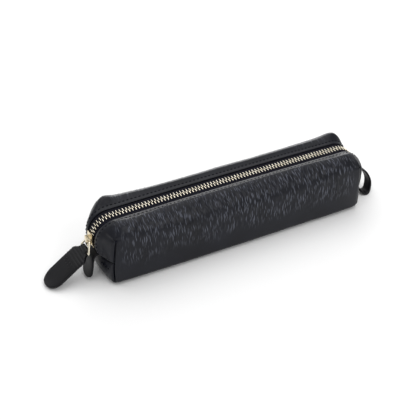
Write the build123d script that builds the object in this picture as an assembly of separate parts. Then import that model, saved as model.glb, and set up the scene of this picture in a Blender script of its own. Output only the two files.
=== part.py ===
"""Soft leather case for fountain pens: a boxed pouch closed by a metal zip that turns down over both ends.

Millimetres, +Z up. The origin is the centre of the flat base. X runs along the case and the slider
parks on the -X end. The case is sewn from one outer leather. Here it is cut along the line where it
flexes when the mouth is opened, into a base tray and a near (-Y) and a far (+Y) side.
"""

from build123d import *
import math
import os

# Case body
HALF_LENGTH = 98.0  # centre to the corner seams
HALF_WIDTH = 22.5
LEATHER = 1.5
LINING = 0.7
BASE_RADIUS = 4.0  # rounding along the two long base edges
END_BASE_RADIUS = 7.0
SHOULDER_RADIUS = 11.0
SHOULDER_HEIGHT = 45.5
FLEX_HEIGHT = 20.0  # height of the end seam and of the line where the sides flex
FLEX_GAP = 0.4
MOUTH_HALF_GAP = 6.3  # zip centre to the turned leather edge
MOUTH_EDGE_HEIGHT = 44.0
LINING_HALF_GAP = 9.2

# Zip
TOOTH_PITCH = 2.4
TOOTH_LENGTH = 0.95  # along the chain
TOOTH_REACH = 2.7  # zip centre to the tooth's heel
TOOTH_OVERLAP = 0.5
TOOTH_HALF_HEIGHT = 1.0
TAPE_HALF_THICKNESS = 0.3
TAPE_INNER = 0.9
TAPE_OUTER = 9.0
BEND_X = 90.4  # the zip turns about this point at each end
BEND_Z = 28.0
BEND_RADIUS = 14.2  # zip middle plane
BEND_END_ANGLE = 208.0  # where the tapes run out, from +X towards +Z
TEETH_END_ANGLE = 181.0
TOP_STOP_ANGLE = 200.0
BOTTOM_STOP_ANGLE = 187.0

# Slider, drawn as an arc so that it follows the bend
SLIDER_ANGLE = 180.0
SLIDER_SPREAD = 17.0  # half its length, in degrees
SLIDER_HALF_WIDTH = 4.0
SLIDER_CHANNEL = 3.1  # half the width inside the flanges
PLATE_GAP = 1.3  # zip middle plane to the inside of a plate
PLATE = 0.9
FLANGE_GAP = 0.9  # half of the slot that the tapes run through
WEDGE_HALF_WIDTH = 0.8
WEDGE_ANGLES = (186.0, 194.0)
BAIL_ANGLE = 182.0
BAIL_HALF_WIDTH = 1.6
BAIL_WIRE = 0.8
BAIL_RISE = 2.9  # height over the slider's outer plate

# Pull: a wire link and a wide leather strap folded over its base bar
WIRE_RADIUS = 0.75
LINK_BAR = (-110.6, 20.6)  # X and Z of the base bar
LINK_APEX_RADIUS = 17.45  # from the bend's centre
LINK_HALF_BAR = 7.0
STRAP_WIDTH = 19.5
STRAP_NECK = 11.6
STRAP_NECK_LENGTH = 6.0
STRAP_LENGTH = 36.0
STRAP_THICKNESS = 2.8
STRAP_BARREL_RADIUS = 2.3
STRAP_BARREL_LENGTH = 9.0
STRAP_BORE_RADIUS = 0.95

# Tongue on the -X end and hanging loop on the +X end, both sewn into the end seam
TONGUE_ROOT = (-107.8, 17.5)
TONGUE_TIP = (-112.6, 0.32)
TONGUE_WIDTH = 12.0
TONGUE_THICKNESS = 1.8
LOOP_WIDTH = 8.0
LOOP_THICKNESS = 1.8
LOOP_OUTLINE = [(108.4, 17.6), (113.4, 19.6), (119.2, 16.4), (121.6, 8.8), (117.8, 1.4), (112.4, 1.1), (109.6, 8.0)]

# Stitching
STITCH_LENGTH = 2.5
STITCH_PITCH = 3.5
STITCH_WIDTH = 0.5
STITCH_HEIGHT = 0.3
STITCH_FROM_EDGE = 3.0

END_X = BEND_X + BEND_RADIUS + TAPE_HALF_THICKNESS + 0.2 + LEATHER  # outermost leather
BIG = 400.0
pieces = {}


def polar(radius, degrees, centre=(-BEND_X, BEND_Z)):
    """A point at an angle about the -X end's bend centre."""
    a = math.radians(degrees)
    return (centre[0] + radius * math.cos(a), centre[1] + radius * math.sin(a))


def block(x, y, z):
    """A box between (low, high) limits along each axis."""
    size = [hi - lo for lo, hi in (x, y, z)]
    middle = [(hi + lo) / 2 for lo, hi in (x, y, z)]
    return Pos(*middle) * Box(*size)


def cross_section(inset):
    """The closed case across its width, in the YZ plane, inset from the outer surface."""
    side = HALF_WIDTH - inset
    low = BASE_RADIUS - inset
    high = SHOULDER_RADIUS - inset
    shoulder_y = HALF_WIDTH - SHOULDER_RADIUS
    shoulder_z = SHOULDER_HEIGHT - SHOULDER_RADIUS
    edge = (MOUTH_HALF_GAP, MOUTH_EDGE_HEIGHT - inset)
    half = [
        Line((0, inset), (side - low, inset)),
        CenterArc((side - low, BASE_RADIUS), low, -90, 90),
        Line((side, BASE_RADIUS), (side, shoulder_z)),
        CenterArc((shoulder_y, shoulder_z), high, 0, 90),
        Line((shoulder_y, shoulder_z + high), edge),
        Line(edge, (0, edge[1])),
    ]
    whole = Curve() + half
    whole += [mirror(edge_line, about=Plane.YZ) for edge_line in half]
    return make_face(whole)


def end_profile(inset):
    """The case along its length, in the XZ plane, with both ends turned down, inset from the surface."""
    arc = END_X - BEND_X - inset
    low = END_BASE_RADIUS - inset
    crown_x = BEND_X - 10.0
    crown_z = SHOULDER_HEIGHT + 0.5 - inset
    arc_end = (BEND_X + arc * math.cos(math.radians(80)), BEND_Z + arc * math.sin(math.radians(80)))
    half = [
        Line((0, inset), (END_X - END_BASE_RADIUS, inset)),
        CenterArc((END_X - END_BASE_RADIUS, END_BASE_RADIUS), low, -90, 90),
        Line((END_X - inset, END_BASE_RADIUS), (END_X - inset, BEND_Z)),
        CenterArc((BEND_X, BEND_Z), arc, 0, 80),
        Line(arc_end, (crown_x, crown_z)),
        Line((crown_x, crown_z), (0, crown_z)),
    ]
    whole = Curve() + half
    whole += [mirror(edge_line, about=Plane.YZ) for edge_line in half]
    return make_face(whole)


def solid_case(inset):
    """The whole case as a filled solid, inset from its outer surface."""
    along = extrude(Plane.YZ * cross_section(inset), BIG / 2, both=True)
    across = extrude(Plane.XZ * end_profile(inset), BIG / 2, both=True)
    return along & across


def sector(inner, outer, start, end, y):
    """Part of a ring about the -X bend, between two radii and two angles, across (low, high) in Y."""
    outline = Curve() + [
        CenterArc((-BEND_X, BEND_Z), outer, start, end - start),
        Line(polar(outer, end), polar(inner, end)),
        CenterArc((-BEND_X, BEND_Z), inner, start, end - start),
        Line(polar(inner, start), polar(outer, start)),
    ]
    ring = extrude(Plane.XZ * make_face(outline), -(y[1] - y[0]))
    return Pos(0, y[0], 0) * ring


def other_end(shape):
    """The same piece at the +X end."""
    return mirror(shape, about=Plane.YZ)


def far(shape):
    """The same piece on the far side, across the XZ plane."""
    return mirror(shape, about=Plane.XZ)


def make_shell():
    """Outer leather and lining, cut at the flex line, the corner seams and the zip."""
    outside = solid_case(0)
    inside = solid_case(LEATHER)
    cavity = solid_case(LEATHER + LINING)
    leather = outside - inside
    lining = inside - cavity
    mouth = block((-BIG, BIG), (-MOUTH_HALF_GAP, MOUTH_HALF_GAP), (FLEX_HEIGHT, BIG))
    lining_mouth = block((-BIG, BIG), (-LINING_HALF_GAP, LINING_HALF_GAP), (FLEX_HEIGHT, BIG))
    below = (-1.0, FLEX_HEIGHT)
    above = (FLEX_HEIGHT + FLEX_GAP, BIG)
    middle = (-HALF_LENGTH, HALF_LENGTH)
    left = (-BIG, -HALF_LENGTH)
    whole = (-BIG, BIG)
    near = (-BIG, 0.0)
    pieces["base_leather"] = leather & block(middle, whole, below)
    pieces["left_end_lower"] = leather & block(left, whole, below)
    pieces["right_end_lower"] = other_end(pieces["left_end_lower"])
    pieces["base_lining"] = lining & block(whole, whole, below)
    near_upper = (leather - mouth) & block(whole, near, above)
    pieces["near_side_leather"] = near_upper & block(middle, whole, above)
    pieces["near_left_ear"] = near_upper & block(left, whole, above)
    pieces["near_right_ear"] = other_end(pieces["near_left_ear"])
    pieces["near_lining"] = (lining - lining_mouth) & block(whole, near, above)
    binding = cavity - solid_case(LEATHER + LINING + 1.0)
    pieces["left_seam_binding"] = binding & block(left, (-15, 15), (FLEX_HEIGHT - 3.5, FLEX_HEIGHT - 0.3))
    pieces["right_seam_binding"] = other_end(pieces["left_seam_binding"])
    corner = binding & block((-HALF_LENGTH - 1.5, -HALF_LENGTH + 1.5), (-BIG, -15), (6.0, FLEX_HEIGHT - 0.3))
    pieces["corner_bindings"] = [corner, far(corner), other_end(corner), far(other_end(corner))]


def make_tapes():
    """The near tape: its straight run and its two turned ends."""
    y = (-TAPE_OUTER, -TAPE_INNER)
    top = BEND_Z + BEND_RADIUS
    z = (top - TAPE_HALF_THICKNESS, top + TAPE_HALF_THICKNESS)
    pieces["near_tape"] = block((-BEND_X, BEND_X), y, z)
    low, high = BEND_RADIUS - TAPE_HALF_THICKNESS, BEND_RADIUS + TAPE_HALF_THICKNESS
    pieces["near_tape_left_end"] = sector(low, high, 90, BEND_END_ANGLE, y)
    pieces["near_tape_right_end"] = other_end(pieces["near_tape_left_end"])


def tooth(side):
    """One tooth clamped on a tape edge, at the origin of the chain; side is -1 near and 1 far."""
    heel, nose = side * TOOTH_REACH, -side * TOOTH_OVERLAP
    y = (min(heel, nose), max(heel, nose))
    body = block((-TOOTH_LENGTH / 2, TOOTH_LENGTH / 2), y, (-TOOTH_HALF_HEIGHT, TOOTH_HALF_HEIGHT))
    edge = sorted((side * TAPE_INNER, side * (TOOTH_REACH + 1)))
    slot = block((-BIG, BIG), tuple(edge), (-TAPE_HALF_THICKNESS - 0.02, TAPE_HALF_THICKNESS + 0.02))
    return body - slot


def make_teeth(name, side):
    """The straight row and the two curved rows of one side; the far row sits half a pitch along."""
    one = tooth(side)
    offset = TOOTH_PITCH / 4 * side
    count = int(BEND_X / TOOTH_PITCH)
    top = BEND_Z + BEND_RADIUS
    pieces[name + "_teeth"] = [
        Pos(step * TOOTH_PITCH + offset, 0, top) * one for step in range(-count, count + 1)
    ]
    pitch_angle = math.degrees(TOOTH_PITCH / BEND_RADIUS)
    for end, sign in (("_left_end", -1), ("_right_end", 1)):
        along = (count + 1) * TOOTH_PITCH + sign * offset
        angle = 90 + math.degrees((along - BEND_X) / BEND_RADIUS)
        row = []
        while angle <= TEETH_END_ANGLE:
            spin = Pos(-BEND_X, 0, BEND_Z) * Rot(0, 90 - angle, 0) * Pos(0, 0, BEND_RADIUS)
            row.append(spin * one)
            angle += pitch_angle
        pieces[name + "_teeth" + end] = [other_end(shape) for shape in row] if sign > 0 else row


def make_stops():
    """Two top stops below the parked slider, and the bottom stop that joins the tapes at the other end."""
    low, high = BEND_RADIUS - 1.2, BEND_RADIUS + 1.2
    slot = sector(BEND_RADIUS - 0.34, BEND_RADIUS + 0.34, 170, 230, (-BIG / 4, -TAPE_INNER + 0.05))
    stop = sector(low, high, TOP_STOP_ANGLE - 3, TOP_STOP_ANGLE + 3, (-2.8, -0.3)) - slot
    pieces["zip_top_stops"] = [stop, far(stop)]
    across = sector(low, high, BOTTOM_STOP_ANGLE - 4, BOTTOM_STOP_ANGLE + 4, (-3.0, 3.0))
    across = across - slot - far(slot)
    pieces["zip_bottom_stop"] = other_end(across)


def make_slider():
    """The cast slider: two plates, two side flanges, the wedge that joins them, and the bail on top."""
    start, end = SLIDER_ANGLE - SLIDER_SPREAD, SLIDER_ANGLE + SLIDER_SPREAD
    full = (-SLIDER_HALF_WIDTH, SLIDER_HALF_WIDTH)
    inner, outer = BEND_RADIUS - PLATE_GAP, BEND_RADIUS + PLATE_GAP
    body = sector(outer, outer + PLATE, start, end, full)
    body += sector(inner - PLATE, inner, start, end, full)
    for side in ((-SLIDER_HALF_WIDTH, -SLIDER_CHANNEL), (SLIDER_CHANNEL, SLIDER_HALF_WIDTH)):
        body += sector(BEND_RADIUS + FLANGE_GAP, outer, start, end, side)
        body += sector(inner, BEND_RADIUS - FLANGE_GAP, start, end, side)
    wedge = (-WEDGE_HALF_WIDTH, WEDGE_HALF_WIDTH)
    body += sector(inner, outer, WEDGE_ANGLES[0], WEDGE_ANGLES[1], wedge)
    pieces["slider_body"] = body
    foot = outer + PLATE
    y = (-BAIL_HALF_WIDTH, BAIL_HALF_WIDTH)
    bail = sector(foot, foot + BAIL_RISE, BAIL_ANGLE - 12, BAIL_ANGLE + 12, y)
    hole = sector(foot, foot + BAIL_RISE - BAIL_WIRE, BAIL_ANGLE - 8.5, BAIL_ANGLE + 8.5, (-BIG / 4, BIG / 4))
    pieces["slider_bail"] = bail - hole


def make_link():
    """A wire triangle: a short top bar through the bail, two arms and the base bar."""
    apex = polar(LINK_APEX_RADIUS, BAIL_ANGLE)
    top_half = BAIL_HALF_WIDTH + WIRE_RADIUS + 0.35
    corners = [
        Vector(apex[0], -top_half, apex[1]),
        Vector(apex[0], top_half, apex[1]),
        Vector(LINK_BAR[0], LINK_HALF_BAR, LINK_BAR[1]),
        Vector(LINK_BAR[0], -LINK_HALF_BAR, LINK_BAR[1]),
    ]
    wire = None
    for start, end in zip(corners, corners[1:] + corners[:1]):
        run = end - start
        rod = Solid.make_cylinder(WIRE_RADIUS, run.length, Plane(origin=start, z_dir=run))
        joint = Pos(*start) * Sphere(WIRE_RADIUS)
        wire = rod + joint if wire is None else wire + rod + joint
    pieces["pull_link"] = wire


def strap_plane():
    """The strap's middle plane: local x runs down the strap from the bar, local y is +Y."""
    drop = LINK_BAR[1]
    slope = math.asin(drop / math.hypot(STRAP_LENGTH, STRAP_THICKNESS / 2)) - math.atan2(
        STRAP_THICKNESS / 2, STRAP_LENGTH
    )
    down = Vector(-math.cos(slope), 0, -math.sin(slope))
    return Plane(origin=(LINK_BAR[0], 0, LINK_BAR[1]), x_dir=down, z_dir=down.cross(Vector(0, 1, 0)))


def make_strap():
    """The leather pull: a neck folded round the bar, straight sides and a semicircular end."""
    plane = strap_plane()
    half, neck = STRAP_WIDTH / 2, STRAP_NECK / 2
    fold = STRAP_BARREL_LENGTH / 2
    straight = STRAP_LENGTH - half
    outline = Curve() + [
        Line((0, -neck), (STRAP_NECK_LENGTH, -half)),
        Line((STRAP_NECK_LENGTH, -half), (straight, -half)),
        CenterArc((straight, 0), half, -90, 180),
        Line((straight, half), (STRAP_NECK_LENGTH, half)),
        Line((STRAP_NECK_LENGTH, half), (0, neck)),
        Line((0, neck), (0, -neck)),
    ]
    slab = extrude(plane * make_face(outline), STRAP_THICKNESS / 2, both=True)
    bar = Pos(LINK_BAR[0], 0, LINK_BAR[1]) * Rot(90, 0, 0)
    barrel = bar * Cylinder(STRAP_BARREL_RADIUS, STRAP_BARREL_LENGTH)
    bore = bar * Cylinder(STRAP_BORE_RADIUS, BIG)
    reach = STRAP_BARREL_RADIUS + 0.3
    relief = block((-reach, reach), (fold, BIG), (-BIG, BIG))
    relief = plane * relief
    pieces["pull_strap"] = slab + barrel - bore - relief - far(relief)
    rows = []
    top = STRAP_THICKNESS / 2 + 0.02 + STITCH_HEIGHT / 2
    for along in (5.4, 7.8):
        for step in range(-2, 3):
            rows.append(plane * Pos(along, step * 2.6, top) * Box(STITCH_WIDTH, 1.9, STITCH_HEIGHT))
    pieces["strap_stitches"] = rows


def make_tongue():
    """A flat tab with a rounded end that hangs from the end seam to the floor."""
    down = Vector(TONGUE_TIP[0] - TONGUE_ROOT[0], 0, TONGUE_TIP[1] - TONGUE_ROOT[1])
    plane = Plane(origin=(TONGUE_ROOT[0], 0, TONGUE_ROOT[1]), x_dir=down, z_dir=down.cross(Vector(0, 1, 0)))
    half = TONGUE_WIDTH / 2
    straight = down.length - half
    outline = Curve() + [
        Line((0, -half), (straight, -half)),
        CenterArc((straight, 0), half, -90, 180),
        Line((straight, half), (0, half)),
        Line((0, half), (0, -half)),
    ]
    tab = extrude(plane * make_face(outline), TONGUE_THICKNESS / 2, both=True)
    root = Pos(TONGUE_ROOT[0], 0, TONGUE_ROOT[1]) * Rot(90, 0, 0) * Cylinder(TONGUE_THICKNESS / 2, TONGUE_WIDTH)
    pieces["end_tongue"] = tab + root


def make_loop():
    """A strip of leather bent back on itself, hanging from the +X end seam."""
    outer = [Vector(*point) for point in LOOP_OUTLINE]
    inner = []
    for before, point, after in zip(outer[-1:] + outer, outer, outer[1:] + outer[:1]):
        run = (after - before).normalized()
        inner.append(point + Vector(run.Y, -run.X) * LOOP_THICKNESS)
    skins = [make_face(Curve() + [Spline(*points, periodic=True)]) for points in (outer, inner)]
    outside, hole = [extrude(Plane.XZ * face, LOOP_WIDTH / 2, both=True) for face in skins]
    pieces["hanging_loop"] = outside - hole


def make_stitches():
    """A row of topstitches beside the zip on the near side, and a short row on each lower end."""
    shoulder_y = HALF_WIDTH - SHOULDER_RADIUS
    fall = SHOULDER_HEIGHT - MOUTH_EDGE_HEIGHT
    slope = math.degrees(math.atan2(fall, shoulder_y - MOUTH_HALF_GAP))
    height = MOUTH_EDGE_HEIGHT + STITCH_FROM_EDGE * math.tan(math.radians(slope))
    one = Box(STITCH_LENGTH, STITCH_WIDTH, STITCH_HEIGHT)
    lift = STITCH_HEIGHT / 2 + 0.03
    y = -(MOUTH_HALF_GAP + STITCH_FROM_EDGE)
    count = int((BEND_X - 12) / STITCH_PITCH)
    pieces["near_topstitch"] = [
        Pos(step * STITCH_PITCH, y, height) * Rot(-slope, 0, 0) * Pos(0, 0, lift) * one
        for step in range(-count, count + 1)
    ]
    stitch = Box(STITCH_HEIGHT, STITCH_LENGTH, STITCH_WIDTH)
    x = -END_X - STITCH_HEIGHT / 2 - 0.02
    row = [Pos(x, side * (9.0 + step * STITCH_PITCH), 13.5) * stitch for side in (-1, 1) for step in range(3)]
    pieces["left_end_stitches"] = row
    pieces["right_end_stitches"] = [other_end(shape) for shape in row]


def add_far_side():
    """The far side mirrors the near side, apart from the teeth, which interlock."""
    for name in [n for n in pieces if n.startswith("near_") and "teeth" not in n]:
        shape = pieces[name]
        mirrored = [far(one) for one in shape] if isinstance(shape, list) else far(shape)
        pieces["far_" + name[len("near_"):]] = mirrored


def write_parts():
    """One STEP file for each named piece; a list becomes a group of separate solids."""
    os.makedirs("parts", exist_ok=True)
    for name, shape in pieces.items():
        solids = []
        for one in shape if isinstance(shape, list) else [shape]:
            solids += one.solids()
        whole = solids[0] if len(solids) == 1 else Compound(children=solids)
        export_step(whole, "parts/" + name + ".step")


make_shell()
make_tapes()
make_teeth("near", -1)
make_teeth("far", 1)
make_stops()
make_slider()
make_link()
make_strap()
make_tongue()
make_loop()
make_stitches()
add_far_side()
write_parts()
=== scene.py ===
"""Looks of the fountain pen case: soft leather, zip, slider, pull strap, tongue and hanging loop.

Lengths in this script are millimetres in the part's own frame, and become metres when a mesh is made.
"""

import itertools
import math

import bpy
import numpy as np
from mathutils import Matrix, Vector


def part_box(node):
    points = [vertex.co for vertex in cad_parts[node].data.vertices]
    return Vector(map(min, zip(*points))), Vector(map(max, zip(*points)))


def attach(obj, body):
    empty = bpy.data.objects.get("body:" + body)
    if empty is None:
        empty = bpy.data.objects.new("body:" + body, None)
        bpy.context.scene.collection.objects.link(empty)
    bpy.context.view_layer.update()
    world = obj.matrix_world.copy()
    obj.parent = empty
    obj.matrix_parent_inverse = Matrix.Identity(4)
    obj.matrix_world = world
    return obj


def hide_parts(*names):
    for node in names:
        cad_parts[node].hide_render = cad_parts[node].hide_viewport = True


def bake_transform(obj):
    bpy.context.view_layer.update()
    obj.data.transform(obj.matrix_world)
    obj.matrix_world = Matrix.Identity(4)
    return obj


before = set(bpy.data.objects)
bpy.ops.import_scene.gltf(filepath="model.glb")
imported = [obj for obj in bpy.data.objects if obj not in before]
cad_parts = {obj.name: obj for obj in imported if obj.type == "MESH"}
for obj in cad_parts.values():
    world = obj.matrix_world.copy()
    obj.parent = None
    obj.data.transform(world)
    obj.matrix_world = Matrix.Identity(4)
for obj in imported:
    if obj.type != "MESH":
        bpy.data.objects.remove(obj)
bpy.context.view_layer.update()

MM = 0.001

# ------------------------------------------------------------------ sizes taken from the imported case
_, base_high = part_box("base_leather")
_, near_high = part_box("near_side_leather")
HALF_LENGTH = base_high[0] / MM  # centre to the corner seams
HALF_WIDTH = base_high[1] / MM
HEIGHT = near_high[2] / MM
MOUTH_HALF_GAP = -near_high[1] / MM  # zip centre to the leather's edge
SEAM_HEIGHT = base_high[2] / MM - 0.5  # the horizontal end seam, at the corners
TAPE_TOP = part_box("near_tape")[1][2] / MM
BEND_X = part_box("near_tape")[1][0] / MM  # where the zip starts to turn down

# ------------------------------------------------------------------ sizes of the soft model
SEAM_TOP = 40.5  # where the upright corner seams end, below the ears

LEATHER = 1.1
LINING = 0.5
TAPE_HALF = 0.3
ZIP_HEIGHT = TAPE_TOP - TAPE_HALF
ZIP_ARCH = 0.7  # how much higher the zip stands in the middle of the top
BEND_RADIUS = 14.2
BEND_Z = ZIP_HEIGHT - BEND_RADIUS
BEND_SWEEP = math.radians(110)  # how far the zip turns down at each end
TAIL = 5.0  # straight run from the bend into the end seam
ZIP_HALF = BEND_X + BEND_RADIUS * BEND_SWEEP + TAIL

BASE_RADIUS = 4.0
SHOULDER_RADIUS = 13.0
END_SHOULDER_RADIUS = 9.0
END_RADIUS = 13.0
FAR_RIGHT_END_RADIUS = 8.0
CORNER_RADIUS = 2.5
TAPER_START = 45.0  # beyond this X the shoulders grow tighter and lower

BELLY = 2.0  # how far the long sides swell
ENDS_DRAWN_IN = 1.1  # how far the corner seams draw the long sides in
SEAM_BULGE = 3.6  # how far the ends stand out at their horizontal seam
LEFT_BULGE = 7.2  # how far the ends stand out above their seam
RIGHT_BULGE = 8.0
LOWER_BULGE = 5.6  # and below it
SEAM_DIP = 2.6  # how far the end seams sag in their middle
LEVEL_GROOVE = 0.9  # the depth of the horizontal end seams
CORNER_GROOVE = 1.3
CORNER_BEAK = 1.6  # the fold over the near left corner seam
EAR_HEIGHT = 1.7
FAR_LEFT_EAR_HEIGHT = 2.6
NEAR_RIGHT_EAR_HEIGHT = -1.5

TOOTH_PITCH = 2.4
TEETH_SWEEP = math.radians(91)  # how far the teeth follow the zip round each end

STITCH_LINE = MOUTH_HALF_GAP + 2.9  # the topstitches' distance from the zip's centre plane
END_STITCH_HEIGHT = 13.5
STITCH_PITCH = 3.0
STITCH_LENGTH = 2.1
STITCH_HALF_WIDTH = 0.36
STITCH_HALF_HEIGHT = 0.26
STITCH_SIZES = (0.3, 0.75, 1, 1, 1, 0.75, 0.3)  # from one end of a stitch to the other
STITCH_LIFTS = (-0.25, 0, 0.1, 0.12, 0.1, 0, -0.25)  # above the leather


# ------------------------------------------------------------------ small tools
def smooth(t):
    """Smooth step from 0 to 1."""
    t = np.clip(t, 0, 1)
    return t * t * (3 - 2 * t)


def value_noise(points, lump, seed):
    """Smooth noise from -1 to 1 with lumps of about this size along x, y and z."""
    side = 48
    lattice = np.random.default_rng(seed).uniform(-1, 1, (side, side, side))
    grid = points / np.array(lump, float)
    cell = np.floor(grid).astype(int)
    part = smooth(grid - cell)
    total = np.zeros(len(points))
    for corner in itertools.product((0, 1), repeat=3):
        weight = np.ones(len(points))
        for axis in range(3):
            weight = weight * (part[:, axis] if corner[axis] else 1 - part[:, axis])
        at = (cell + np.array(corner)) % side
        total += weight * lattice[at[:, 0], at[:, 1], at[:, 2]]
    return total


def cell_ridges(u, v, seed):
    """Cells of about unit size: 0 in the creases between them and 1 on their tops."""
    side = 64
    shift = np.random.default_rng(seed).uniform(0.1, 0.9, (side, side, 2))
    column, row = np.floor(u).astype(int), np.floor(v).astype(int)
    nearest = np.full((2, len(u)), 9.0)
    for right, up in itertools.product((-1, 0, 1), repeat=2):
        at = shift[(column + right) % side, (row + up) % side]
        gap = np.hypot(column + right + at[:, 0] - u, row + up + at[:, 1] - v)
        nearest = np.sort(np.vstack([nearest, gap]), axis=0)[:2]
    return smooth((nearest[1] - nearest[0]) / 0.8)


def vertex_normals(points, faces):
    """Area-weighted vertex normals of a quad mesh."""
    a, b, c, d = (points[faces[:, k]] for k in range(4))
    face_normal = np.cross(c - a, d - b)
    normals = np.zeros_like(points)
    for k in range(4):
        np.add.at(normals, faces[:, k], face_normal)
    return normals / np.maximum(np.linalg.norm(normals, axis=1, keepdims=True), 1e-9)


def make_piece(name, points, faces, material):
    """A smooth-shaded mesh piece from points in millimetres."""
    mesh = bpy.data.meshes.new(name)
    mesh.from_pydata((np.asarray(points) * MM).tolist(), [], [list(map(int, f)) for f in faces])
    mesh.polygons.foreach_set("use_smooth", [True] * len(mesh.polygons))
    mesh.materials.append(material)
    mesh.update()
    piece = bpy.data.objects.new(name, mesh)
    bpy.context.scene.collection.objects.link(piece)
    return piece


def thicken(piece, thickness):
    """Turn a skin into a closed shell, grown inwards, and apply it."""
    solidify = piece.modifiers.new("shell", "SOLIDIFY")
    solidify.thickness = thickness * MM
    solidify.offset = -1
    solidify.use_even_offset = False
    apply_modifiers(piece)
    return piece


def apply_modifiers(piece):
    """Bake the piece's modifiers into its mesh."""
    depsgraph = bpy.context.evaluated_depsgraph_get()
    mesh = bpy.data.meshes.new_from_object(piece.evaluated_get(depsgraph))
    piece.modifiers.clear()
    piece.data = mesh


def loft(rings, closed=False):
    """Points and faces of a tube through rings of equal size; its ends are capped unless it is closed."""
    count, around = len(rings), len(rings[0])
    points = np.concatenate(rings)
    faces = []
    for i in range(count if closed else count - 1):
        for j in range(around):
            a = i * around + j
            b = i * around + (j + 1) % around
            c = ((i + 1) % count) * around + (j + 1) % around
            d = ((i + 1) % count) * around + j
            faces.append((a, b, c, d))
    if not closed:
        faces.append(tuple(range(around))[::-1])
        faces.append(tuple(range((count - 1) * around, count * around)))
    return points, faces


def merge(shapes):
    """Several (points, faces) shapes as one."""
    points, faces, start = [], [], 0
    for some_points, some_faces in shapes:
        points.append(np.asarray(some_points, float))
        faces += [tuple(index + start for index in face) for face in some_faces]
        start += len(some_points)
    return np.concatenate(points), faces


def superellipse(half_width, half_height, power, count=32):
    """A rounded rectangle as (across, up) points."""
    angles = np.linspace(0, 2 * math.pi, count, endpoint=False) + math.pi / count
    c, s = np.cos(angles), np.sin(angles)
    across = half_width * np.sign(c) * np.abs(c) ** (2 / power)
    up = half_height * np.sign(s) * np.abs(s) ** (2 / power)
    return np.stack([across, up], axis=1)


# ------------------------------------------------------------------ the zip's path
def zip_point(s):
    """X, Z and the outward normal's X and Z at s along the zip from its middle; s < 0 is the -X end."""
    s = np.asarray(s, float)
    along = np.abs(s)
    side = np.where(s < 0, -1.0, 1.0)
    angle = np.clip((along - BEND_X) / BEND_RADIUS, 0, BEND_SWEEP)
    tail = np.maximum(along - BEND_X - BEND_RADIUS * BEND_SWEEP, 0)
    x = np.minimum(along, BEND_X) + BEND_RADIUS * np.sin(angle) + tail * np.cos(angle)
    arch = ZIP_ARCH * np.clip(1 - (along / BEND_X) ** 2, 0, 1)
    z = BEND_Z + BEND_RADIUS * np.cos(angle) - tail * np.sin(angle) + arch
    return side * x, z, side * np.sin(angle), np.cos(angle)


def zip_place(s, across, rise):
    """Points on the zip: s along it, across in Y, and rise above its middle plane."""
    x, z, normal_x, normal_z = zip_point(s)
    across = np.broadcast_to(across, x.shape)
    return np.stack([x + rise * normal_x, across, z + rise * normal_z], axis=-1)


# ------------------------------------------------------------------ the soft leather surface
def round_edge(a, b, centre_a, centre_b, radius):
    """Round the square corner beyond (centre_a, centre_b) into a quarter circle, smoothly inside it too."""
    u = np.clip((a - centre_a) / radius, 0, 1)
    v = np.clip((b - centre_b) / radius, 0, 1)
    inside = (a > centre_a) & (b > centre_b)
    new_a = np.where(inside, centre_a + radius * u * np.sqrt(1 - v * v / 2), a)
    new_b = np.where(inside, centre_b + radius * v * np.sqrt(1 - u * u / 2), b)
    return new_a, new_b


def rounded_box(q):
    """Points on the plain box moved onto a box with rounded edges."""
    x, y, z = np.abs(q[:, 0]), np.abs(q[:, 1]), q[:, 2]
    tighter = smooth((x - TAPER_START) / 42)
    shoulder = SHOULDER_RADIUS + (END_SHOULDER_RADIUS - SHOULDER_RADIUS) * tighter
    y, z = round_edge(y, z, HALF_WIDTH - shoulder, HEIGHT - shoulder, shoulder)
    y, down = round_edge(y, -z, HALF_WIDTH - BASE_RADIUS, -BASE_RADIUS, BASE_RADIUS)
    is_far_right = (q[:, 0] > 0) & (q[:, 1] > 0)
    end_radius = np.where(is_far_right, FAR_RIGHT_END_RADIUS, END_RADIUS)
    x, z = round_edge(x, -down, HALF_LENGTH - end_radius, HEIGHT - end_radius, end_radius)
    x, down = round_edge(x, -z, HALF_LENGTH - BASE_RADIUS, -BASE_RADIUS, BASE_RADIUS)
    x, y = round_edge(x, y, HALF_LENGTH - CORNER_RADIUS, HALF_WIDTH - CORNER_RADIUS, CORNER_RADIUS)
    return np.stack([np.sign(q[:, 0]) * x, np.sign(q[:, 1]) * y, -down], axis=1)


def grid_lines(low, high, step, seams, extra=()):
    """Grid lines from low to high, closer together beside the seams."""
    beside = (0.0, 0.3, 0.6, 0.95, 1.4, 2.0, 2.8, 3.8)
    must = [low, high, *extra]
    fine = [seam + sign * gap for seam in seams for gap in beside for sign in (-1, 1)]
    coarse = [c for c in np.arange(low, high, step) if all(abs(c - seam) > 4.4 for seam in seams)]
    lines = sorted(must)
    for value in fine + coarse:
        if low < value < high and min(abs(value - line) for line in lines) > 0.25 * min(step, 1.0):
            lines.append(value)
    return np.array(sorted(lines)).round(4)


def patch(fixed, value, lines_a, lines_b):
    """A grid on the face of the plain box that is square to the fixed axis: points and outward quads."""
    axes = [axis for axis in range(3) if axis != fixed]
    a, b = np.meshgrid(lines_a, lines_b, indexing="ij")
    q = np.zeros((a.size, 3))
    q[:, axes[0]] = a.ravel()
    q[:, axes[1]] = b.ravel()
    q[:, fixed] = value
    rows, columns = a.shape
    i, j = np.meshgrid(np.arange(rows - 1), np.arange(columns - 1), indexing="ij")
    start = (i * columns + j).ravel()
    quads = np.stack([start, start + columns, start + columns + 1, start + 1], axis=1)
    turns_out = {0: 1, 1: -1, 2: 1}[fixed]
    outward = 1 if value > 0 else -1
    if turns_out * outward < 0:
        quads = quads[:, ::-1]
    return q, quads


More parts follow.
